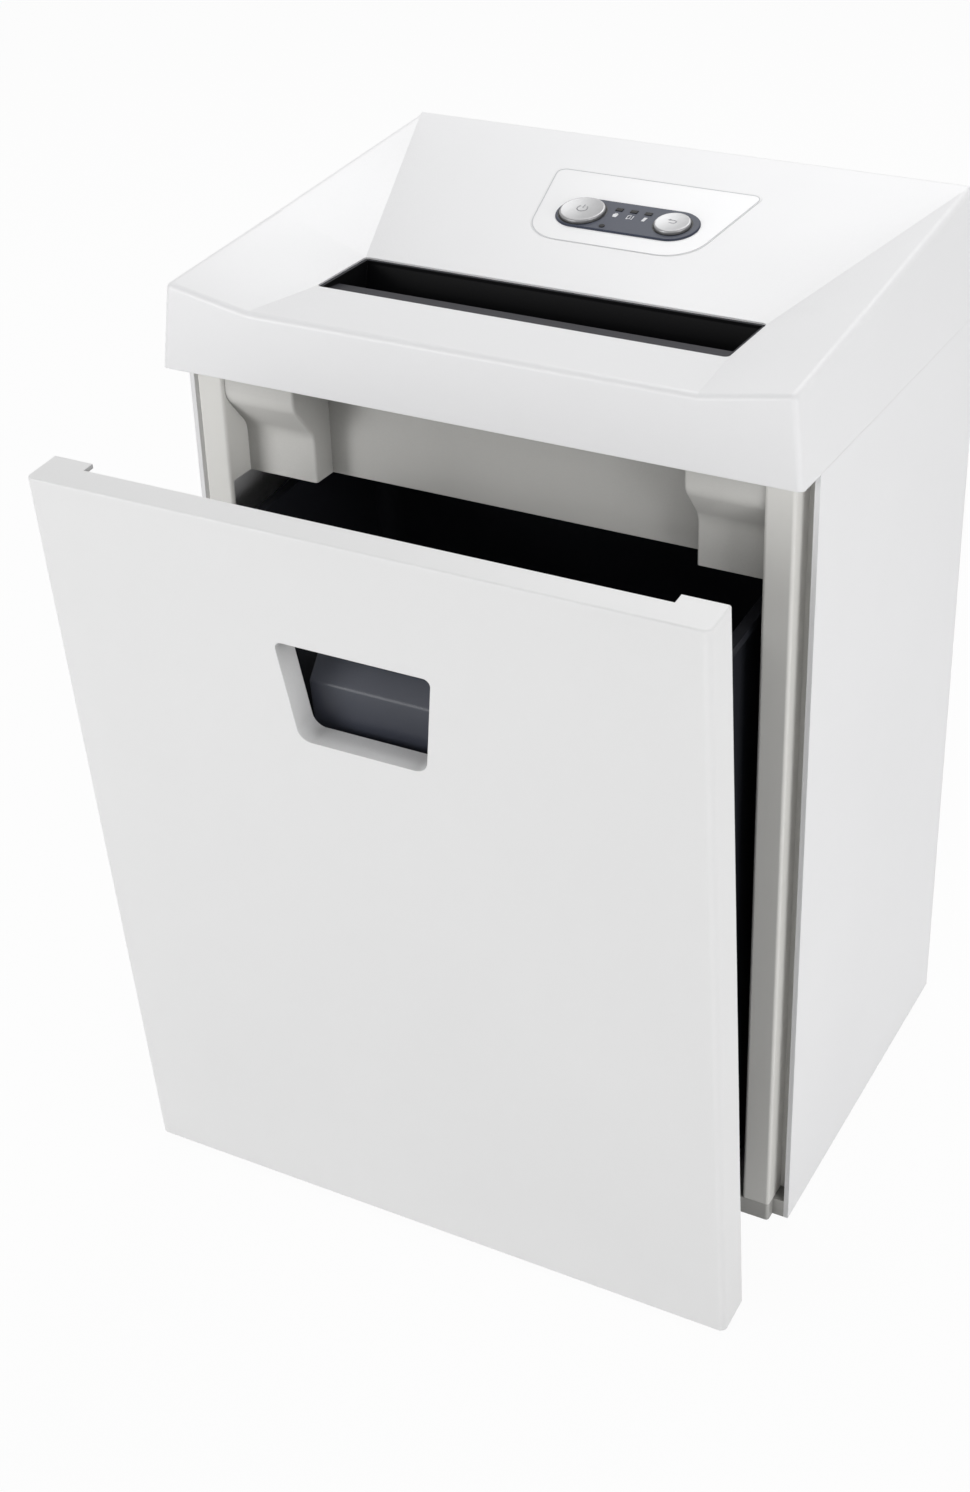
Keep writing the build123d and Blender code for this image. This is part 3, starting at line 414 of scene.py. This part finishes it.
def paint_light_on_ledges(material, colour):
    """Painted light: give the level faces of a piece a lighter tone, standing for the light they reflect
    from above.
    """
    tree = material.node_tree
    shader = tree.nodes["Principled BSDF"]
    plain_colour = shader.inputs["Base Color"].links[0].from_socket
    surface = tree.nodes.new("ShaderNodeNewGeometry")
    parts = tree.nodes.new("ShaderNodeSeparateXYZ")
    tree.links.new(surface.outputs["Normal"], parts.inputs["Vector"])
    blend = tree.nodes.new("ShaderNodeMixRGB")
    blend.inputs["Color2"].default_value = (*colour, 1.0)
    tree.links.new(add_fade(tree, parts.outputs["Z"], 0.85, 0.97), blend.inputs["Fac"])
    tree.links.new(plain_colour, blend.inputs["Color1"])
    tree.links.new(blend.outputs["Color"], shader.inputs["Base Color"])


def ground_metal(name, colour, stretch, gloss=(0.22, 0.42)):
    """Metal with drawn or ground lines."""
    material, shader = plain_material(name, metallic=1.0)
    surface = place_group(material, ground_lines, {
        "Colour": (*colour, 1.0), "Stretch": stretch, "Gloss Low": gloss[0], "Gloss High": gloss[1]})
    connect_surface(material, shader, surface, 0.25, 0.00004)
    return material


def spun_cap(name, colour, centre, axis, dish):
    """Silver painted cap with turned rings and a shallow dish."""
    material, shader = plain_material(name, metallic=0.55)
    surface = place_group(material, spun_rings, {
        "Colour": (*colour, 1.0), "Centre": centre, "Axis": axis, "Dish": dish})
    connect_surface(material, shader, surface, 1.0, 1.0)
    return material


# Places on the deck

button_press = next(joint for joint in frame["record"]["behaviour"]["joints"]
                    if joint["name"] == "power_button_press")
deck_normal = -Vector(button_press["axis"]).normalized()
deck_right = Vector((1.0, 0.0, 0.0))
deck_up = deck_normal.cross(deck_right)
deck_front = Vector((0.0, hood_middle_y + DECK_FRONT * MM, DECK_FRONT_HEIGHT * MM))


def on_deck(x, run, height):
    """Point by the distance from the middle, up the slope and above the deck, in millimetres."""
    return deck_front + (x * deck_right + run * deck_up + height * deck_normal) * MM


power_centre = on_deck(CONTROL_X - BUTTON_SPACING / 2, CONTROL_RUN, BUTTON_TOP)
reverse_centre = on_deck(CONTROL_X + BUTTON_SPACING / 2, CONTROL_RUN, BUTTON_TOP)

WHITE = paint(242, 242, 243)
PANEL_WHITE = paint(236, 236, 236)
FRAME_GREY = paint(229, 228, 224)
SLATE = paint(61, 66, 81)
SILVER = paint(152, 152, 153)

SHELL_GLOSS = (0.36, 0.46)
FRAME_GLOSS = (0.42, 0.52)
PRINT_GLOSS = (0.5, 0.6)

# white_shell, frame_grey and the front panel carry painted shade in their corners and recesses
finishes = {
    "white_shell": moulded_plastic("white_shell", WHITE, SHELL_GRAIN, 0.00005, SHELL_GLOSS, shade_in_crevices=0.85),
    "frame_grey": moulded_plastic("frame_grey", FRAME_GREY, SHELL_GRAIN, 0.00008, FRAME_GLOSS,
                                  shade_in_crevices=0.85, shade_group=nook_shade),
    "dark_plastic": moulded_plastic("dark_plastic", paint(11, 11, 13), SHELL_GRAIN, 0.0001, (0.38, 0.46),
                                    specular=0.3),
    # The bin's plastic, darker than its grip: the shaded copy of one plastic
    "bin_plastic": moulded_plastic("bin_plastic", paint(34, 35, 40), BIN_GRAIN, 0.0001, (0.42, 0.54),
                                   specular=0.2),
    "label_white": moulded_plastic("label_film", paint(243, 243, 244), FILM_GRAIN, 0.00002, (0.28, 0.34)),
    "slate_panel": moulded_plastic("slate_panel", SLATE, PANEL_GRAIN, 0.00004, (0.36, 0.44), specular=0.2),
    "lens": moulded_plastic("tinted_lens", paint(9, 9, 11), LENS_GRAIN, 0.00001, (0.3, 0.4), specular=0.1),
    "steel": ground_metal("zinc_steel", paint(186, 187, 190), (1500.0, 40.0, 1500.0)),
    "cutter_steel": ground_metal("cutter_steel", paint(150, 150, 154), (4000.0, 60.0, 60.0), (0.2, 0.36)),
    "gear_plastic": moulded_plastic("gear_plastic", paint(204, 197, 176), SHELL_GRAIN, 0.00004, (0.4, 0.5)),
    "bearing_bronze": ground_metal("bronze", paint(172, 142, 90), (900.0, 900.0, 900.0), (0.35, 0.5)),
    "motor_can": ground_metal("motor_can", paint(126, 128, 132), (30.0, 900.0, 900.0), (0.3, 0.48)),
    "board": moulded_plastic("board_mask", paint(38, 96, 55), 1800.0, 0.00003, (0.25, 0.35), coat=0.3),
    "rubber": moulded_plastic("rubber", paint(36, 36, 37), SHELL_GRAIN, 0.0002, (0.7, 0.85)),
}
post_grey = moulded_plastic("post_grey", FRAME_GREY, SHELL_GRAIN, 0.00008, FRAME_GLOSS)
own_finishes = {
    "right_front_post": post_grey,
    "left_front_post": post_grey,
    # The panel's painted shade is the strongest, darkening the recess of its window
    "front_panel": moulded_plastic("panel_shell", PANEL_WHITE, SHELL_GRAIN, 0.00005, SHELL_GLOSS,
                                   shade_in_crevices=0.95),
    "feed_chute": moulded_plastic("chute_plastic", paint(9, 9, 11), SHELL_GRAIN, 0.0001, (0.45, 0.55),
                                  specular=0.1),
    "power_button": spun_cap("power_cap", SILVER, power_centre, deck_normal, 4.5),
    "reverse_button": spun_cap("reverse_cap", SILVER, reverse_centre, deck_normal, 5.5),
    # The grip is the bin's own plastic in a lighter tone, a lit copy of it, with a wide painted highlight
    # along its crest
    "bin_grip": moulded_plastic("grip_lit_plastic", paint(58, 61, 71), BIN_GRAIN, 0.0001, (0.3, 0.4), edge_highlight=0.6,
                                corner_round=GRIP_ROUND),
}
# Painted light on the level faces of the chute's ledge
paint_light_on_ledges(own_finishes["feed_chute"], paint(44, 44, 49))
printed_white = moulded_plastic("printed_white", paint(236, 237, 240), PRINT_GRAIN, 0.00001, PRINT_GLOSS)
printed_grey = moulded_plastic("printed_grey", paint(130, 131, 135), PRINT_GRAIN, 0.00001, PRINT_GLOSS)
outline_grey = moulded_plastic("outline_grey", paint(206, 207, 210), PRINT_GRAIN, 0.00001, (0.4, 0.5))
contact_metal = ground_metal("contact_metal", paint(200, 196, 186), (40.0, 1500.0, 1500.0))

for subpart in frame["record"]["subparts"]:
    node = subpart["node"]
    mesh = nodes[node].data
    mesh.materials.clear()
    mesh.materials.append(own_finishes.get(node) or finishes[subpart["material_slot"]])


# Mesh helpers


def new_piece(name, shape, material, body):
    """Piece from a finished bmesh, with its finish, that moves with a body."""
    bmesh.ops.recalc_face_normals(shape, faces=shape.faces)
    mesh = bpy.data.meshes.new(name)
    shape.to_mesh(mesh)
    shape.free()
    mesh.materials.append(material)
    piece = bpy.data.objects.new(name, mesh)
    bpy.context.collection.objects.link(piece)
    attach(piece, body)
    return piece


def arc_points(centre, radius, start, end, steps):
    """Points along an arc, with angles in degrees."""
    points = []
    for step in range(steps + 1):
        angle = math.radians(start + (end - start) * step / steps)
        points.append((centre[0] + radius * math.cos(angle), centre[1] + radius * math.sin(angle)))
    return points


def rounded_outline(corners, radii, steps):
    """Closed outline with an arc of its own radius at each corner."""
    points = []
    count = len(corners)
    for index, radius in enumerate(radii):
        here = Vector(corners[index])
        before = (Vector(corners[index - 1]) - here).normalized()
        after = (Vector(corners[(index + 1) % count]) - here).normalized()
        half = before.angle(after) / 2
        reach = radius / math.tan(half)
        centre = here + (before + after).normalized() * (radius / math.sin(half))
        first = here + before * reach - centre
        sweep = first.angle_signed(here + after * reach - centre)
        for step in range(steps + 1):
            turn = Matrix.Rotation(-sweep * step / steps, 2)
            points.append(tuple(centre + turn @ first))
    return points


def add_ribbon(shape, points, closed, width, base, rise):
    """Thin raised line on the deck along points."""
    count = len(points)
    rows = []
    for index in range(count):
        here = Vector(points[index])
        before = Vector(points[index - 1]) if closed or index > 0 else None
        after = Vector(points[(index + 1) % count]) if closed or index < count - 1 else None
        along = Vector((0.0, 0.0))
        if before is not None:
            along += (here - before).normalized()
        if after is not None:
            along += (after - here).normalized()
        side = Vector((-along.y, along.x)).normalized() * width / 2
        row = []
        for spot, height in ((here + side, base), (here + side, base + rise),
                             (here - side, base + rise), (here - side, base)):
            row.append(shape.verts.new(on_deck(spot.x, spot.y, height)))
        rows.append(row)
    pairs = list(zip(rows, rows[1:]))
    if closed:
        pairs.append((rows[-1], rows[0]))
    else:
        shape.faces.new(rows[0])
        shape.faces.new(rows[-1])
    for first, second in pairs:
        for corner in range(4):
            following = (corner + 1) % 4
            shape.faces.new((first[corner], first[following], second[following], second[corner]))


def add_plate(shape, outline, base, rise):
    """Thin raised plate on the deck inside an outline."""
    low = [shape.verts.new(on_deck(x, run, base)) for x, run in outline]
    high = [shape.verts.new(on_deck(x, run, base + rise)) for x, run in outline]
    shape.faces.new(low)
    shape.faces.new(high)
    count = len(outline)
    for index in range(count):
        following = (index + 1) % count
        shape.faces.new((low[index], low[following], high[following], high[index]))


# Prints on the deck


def make_label_outline():
    """Thin grey line round the label field."""
    shape = bmesh.new()
    corners = []
    for x, run in LABEL_CORNERS:
        corners.append((CONTROL_X + x * LABEL_INSET, CONTROL_RUN + (run - CONTROL_RUN) * LABEL_INSET))
    outline = rounded_outline(corners, LABEL_ROUNDS, 12)
    add_ribbon(shape, outline, True, LABEL_LINE, LABEL_TOP, PRINT_RISE)
    new_piece("label_outline", shape, outline_grey, "cabinet")


def make_power_sign():
    """Open ring with a bar, on the power button."""
    shape = bmesh.new()
    x = CONTROL_X - BUTTON_SPACING / 2
    half_opening = POWER_SIGN_OPENING / 2
    ring = arc_points((x, CONTROL_RUN), POWER_SIGN_RADIUS, 90 + half_opening, 450 - half_opening, 28)
    add_ribbon(shape, ring, False, POWER_SIGN_LINE, BUTTON_TOP, PRINT_RISE)
    bar = [(x, CONTROL_RUN + POWER_BAR_LOW), (x, CONTROL_RUN + POWER_BAR_HIGH)]
    add_ribbon(shape, bar, False, POWER_SIGN_LINE, BUTTON_TOP, PRINT_RISE)
    new_piece("power_sign", shape, printed_grey, "power_button_body")


def make_reverse_sign():
    """Arrow that turns back, on the reverse button."""
    shape = bmesh.new()
    x = CONTROL_X + BUTTON_SPACING / 2
    high = CONTROL_RUN + REVERSE_BEND
    low = CONTROL_RUN - REVERSE_BEND
    tip_base = x + REVERSE_TIP_X + REVERSE_TIP_LENGTH
    line = [(tip_base, high)]
    line += arc_points((x + REVERSE_BEND_X, CONTROL_RUN), REVERSE_BEND, 90, -90, 10)
    line.append((tip_base, low))
    add_ribbon(shape, line, False, REVERSE_LINE, BUTTON_TOP, PRINT_RISE)
    tip = [(x + REVERSE_TIP_X, high), (tip_base, high + REVERSE_TIP_HALF),
           (tip_base, high - REVERSE_TIP_HALF)]
    add_plate(shape, tip, BUTTON_TOP, PRINT_RISE)
    new_piece("reverse_sign", shape, printed_grey, "reverse_button_body")


def sign_plate(shape, x, low, low_half, high, high_half, lean=0.0):
    """Four-sided plate of a sign, from its low to its high edge on the control panel."""
    outline = [(x - lean - low_half, low), (x - lean + low_half, low),
               (x + lean + high_half, high), (x + lean - high_half, high)]
    add_plate(shape, outline, PILL_TOP, PRINT_RISE)


def make_light_signs():
    """Small signs under the three status lights: full bin, open door and sheet."""
    shape = bmesh.new()
    left = LIGHT_X - LIGHT_SPACING
    right = LIGHT_X + LIGHT_SPACING
    run = LIGHT_SIGN_RUN
    sign_plate(shape, left, run - 1.8, 1.2, run + 1.4, 1.6)
    sign_plate(shape, left, run + 1.8, 1.0, run + 2.4, 1.0)
    sign_plate(shape, right, run - 2.0, 1.0, run + 2.2, 1.0, lean=0.3)
    new_piece("light_signs", shape, printed_white, "cabinet")
    door = bmesh.new()
    leaf = [(LIGHT_X - 1.5, run - 2.0), (LIGHT_X - 1.5, run + 1.6), (LIGHT_X + 0.3, run + 2.4),
            (LIGHT_X + 0.3, run - 1.2), (LIGHT_X - 1.5, run - 2.0)]
    add_ribbon(door, leaf, False, DOOR_LINE, PILL_TOP, PRINT_RISE)
    frame_line = [(LIGHT_X + 0.9, run - 1.6), (LIGHT_X + 1.9, run - 1.6), (LIGHT_X + 1.9, run + 1.8)]
    add_ribbon(door, frame_line, False, DOOR_LINE, PILL_TOP, PRINT_RISE)
    new_piece("door_sign", door, printed_white, "cabinet")


def make_button_gap_shade():
    """Painted shade: dark ring on the pill round each button, standing for the shadow in the gap."""
    shape = bmesh.new()
    for x, radius in ((-BUTTON_SPACING / 2, POWER_RADIUS), (BUTTON_SPACING / 2, REVERSE_RADIUS)):
        ring = arc_points((CONTROL_X + x, CONTROL_RUN), radius + GAP_WIDTH / 2 + GAP_CLEAR, 0, 352.5, 47)
        add_ribbon(shape, ring, True, GAP_WIDTH, PILL_TOP, PRINT_RISE)
    new_piece("button_gap_shade", shape, finishes["dark_plastic"], "cabinet")


make_label_outline()
make_button_gap_shade()
make_power_sign()
make_reverse_sign()
make_light_signs()


# Back of the cabinet


def add_screw_head(shape, centre, outward, across, radius, height):
    """Domed screw head with a cross recess."""
    up = outward.cross(across)

    def spot(x, y, z):
        return shape.verts.new(centre + x * across + y * up + z * outward)

    steps = 24
    profile = [(radius, 0.0), (radius, 0.35 * height), (0.9 * radius, 0.7 * height), (0.7 * radius, height)]
    rings = []
    for reach, rise in profile:
        ring = []
        for step in range(steps):
            angle = 2 * math.pi * step / steps
            ring.append(spot(reach * math.cos(angle), reach * math.sin(angle), rise))
        rings.append(ring)
    for low, high in zip(rings, rings[1:]):
        for step in range(steps):
            following = (step + 1) % steps
            shape.faces.new((low[step], low[following], high[following], high[step]))
    arm = 0.5 * radius
    half = 0.1 * radius
    cross = [(half, half), (half, arm), (-half, arm), (-half, half), (-arm, half), (-arm, -half),
             (-half, -half), (-half, -arm), (half, -arm), (half, -half), (arm, -half), (arm, half)]
    rim = [spot(x, y, height) for x, y in cross]
    floor = [spot(x, y, 0.4 * height) for x, y in cross]
    shape.faces.new(floor)
    edges = []
    for index in range(len(cross)):
        following = (index + 1) % len(cross)
        shape.faces.new((rim[index], rim[following], floor[following], floor[index]))
        edges.append(shape.edges.get((rim[index], rim[following])))
    top = rings[-1]
    for step in range(steps):
        edges.append(shape.edges.get((top[step], top[(step + 1) % steps])))
    bmesh.ops.triangle_fill(shape, use_beauty=True, edges=edges)


def make_back_screws():
    """Screws along the edges of the back panel."""
    shape = bmesh.new()
    low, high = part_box("back_panel")
    inset = SCREW_INSET * MM
    outward, across = Vector((0.0, 1.0, 0.0)), Vector((-1.0, 0.0, 0.0))
    for x in (low.x + inset, high.x - inset):
        for z in (low.z + 2 * inset, (low.z + high.z) / 2, high.z - inset):
            centre = Vector((x, high.y, z))
            add_screw_head(shape, centre, outward, across, SCREW_RADIUS * MM, SCREW_HEIGHT * MM)
    new_piece("back_screws", shape, finishes["steel"], "cabinet")


def make_inlet_contacts():
    """Metal blades over the three pins of the mains inlet."""
    shape = bmesh.new()
    low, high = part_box("mains_inlet")
    middle = (low + high) / 2
    floor_y = high.y - INLET_DEPTH * MM
    stations = [(0.0, 0.0), (CONTACT_LENGTH - CONTACT_TAPER, 0.0), (CONTACT_LENGTH, CONTACT_NARROWING)]
    for index in (-1, 0, 1):
        x = middle.x + index * CONTACT_SPACING * MM
        rings = []
        for length, narrowing in stations:
            half_width = (CONTACT_HALF_WIDTH - narrowing) * MM
            half_height = (CONTACT_HALF_HEIGHT - narrowing) * MM
            ring = []
            for side, rise in ((-1, -1), (1, -1), (1, 1), (-1, 1)):
                ring.append(shape.verts.new((x + side * half_width, floor_y + length * MM,
                                             middle.z + rise * half_height)))
            rings.append(ring)
        for first, second in zip(rings, rings[1:]):
            for corner in range(4):
                following = (corner + 1) % 4
                shape.faces.new((first[corner], first[following], second[following], second[corner]))
        shape.faces.new(rings[0])
        shape.faces.new(rings[-1])
    new_piece("inlet_contacts", shape, contact_metal, "cabinet")


make_back_screws()
make_inlet_contacts()


# Floor, light and camera


def seen_directly(tree):
    """Share of 1 for what the camera sees, also in gloss and through clear pieces."""
    path = tree.nodes.new("ShaderNodeLightPath")
    first = add_math(tree, "MAXIMUM", path.outputs["Is Camera Ray"], path.outputs["Is Glossy Ray"])
    return add_math(tree, "MAXIMUM", first, path.outputs["Is Transmission Ray"])


def make_floor():
    """Pale floor that the camera sees as white, with a little of the object's shadow."""
    mesh = bpy.data.meshes.new("floor")
    far = FLOOR_HALF_SIDE
    corners = [(-far, -far, 0), (far, -far, 0), (far, far, 0), (-far, far, 0)]
    mesh.from_pydata(corners, [], [(0, 1, 2, 3)])
    floor = bpy.data.objects.new("floor", mesh)
    bpy.context.collection.objects.link(floor)
    material, shader = plain_material("studio_floor", specular=0.1)
    shader.inputs["Base Color"].default_value = (0.7, 0.7, 0.7, 1.0)
    shader.inputs["Roughness"].default_value = 0.9
    tree = material.node_tree
    glow = tree.nodes.new("ShaderNodeEmission")
    share = add_math(tree, "MULTIPLY", seen_directly(tree), FLOOR_GLOW)
    mix = tree.nodes.new("ShaderNodeMixShader")
    tree.links.new(share, mix.inputs["Fac"])
    tree.links.new(shader.outputs["BSDF"], mix.inputs[1])
    tree.links.new(glow.outputs["Emission"], mix.inputs[2])
    tree.links.new(mix.outputs["Shader"], tree.nodes["Material Output"].inputs["Surface"])
    mesh.materials.append(material)


def make_world():
    """White surroundings that also give the soft light from all sides."""
    world = bpy.data.worlds.new("studio")
    bpy.context.scene.world = world
    world.use_nodes = True
    tree = world.node_tree
    background = tree.nodes["Background"]
    background.inputs["Color"].default_value = (1.0, 1.0, 1.0, 1.0)
    strength = tree.nodes.new("ShaderNodeMapRange")
    strength.inputs["To Min"].default_value = SURROUND_LIGHT
    strength.inputs["To Max"].default_value = 1.0
    tree.links.new(seen_directly(tree), strength.inputs["Value"])
    tree.links.new(strength.outputs["Result"], background.inputs["Strength"])


def make_lamp(name, place, aim, size, power):
    """Large soft lamp that points at a spot."""
    lamp = bpy.data.lights.new(name, "AREA")
    lamp.shape = "SQUARE"
    lamp.size = size
    lamp.energy = power
    holder = bpy.data.objects.new(name, lamp)
    bpy.context.collection.objects.link(holder)
    holder.location = place
    holder.rotation_euler = (Vector(aim) - Vector(place)).to_track_quat("-Z", "Y").to_euler()


def make_camera():
    """Camera at the photograph's viewing angle, aimed at the middle of the cabinet."""
    target = Vector((0.0, hood_middle_y, VIEW_TARGET_HEIGHT))
    azimuth = math.radians(VIEW_AZIMUTH)
    elevation = math.radians(VIEW_ELEVATION)
    roll = math.radians(VIEW_ROLL)
    back = Vector((math.sin(azimuth) * math.cos(elevation), -math.cos(azimuth) * math.cos(elevation),
                   math.sin(elevation)))
    right = Vector((math.cos(azimuth), math.sin(azimuth), 0.0))
    up = back.cross(right)
    rolled_right = math.cos(roll) * right + math.sin(roll) * up
    rolled_up = math.cos(roll) * up - math.sin(roll) * right
    camera = bpy.data.cameras.new("camera")
    camera.sensor_width = SENSOR_WIDTH
    camera.lens = VIEW_FOCAL / PICTURE_HEIGHT * SENSOR_WIDTH
    camera.shift_x = (PICTURE_WIDTH / 2 - VIEW_CENTRE_X) / PICTURE_HEIGHT
    camera.shift_y = (VIEW_CENTRE_Y - PICTURE_HEIGHT / 2) / PICTURE_HEIGHT
    holder = bpy.data.objects.new("camera", camera)
    bpy.context.collection.objects.link(holder)
    holder.matrix_world = Matrix.Translation(target + back * VIEW_DISTANCE) @ Matrix(
        (rolled_right, rolled_up, back)).transposed().to_4x4()
    bpy.context.scene.camera = holder


make_floor()
make_world()
for lamp in LAMPS:
    make_lamp(*lamp)
make_camera()
bpy.context.scene.view_settings.view_transform = "Standard"
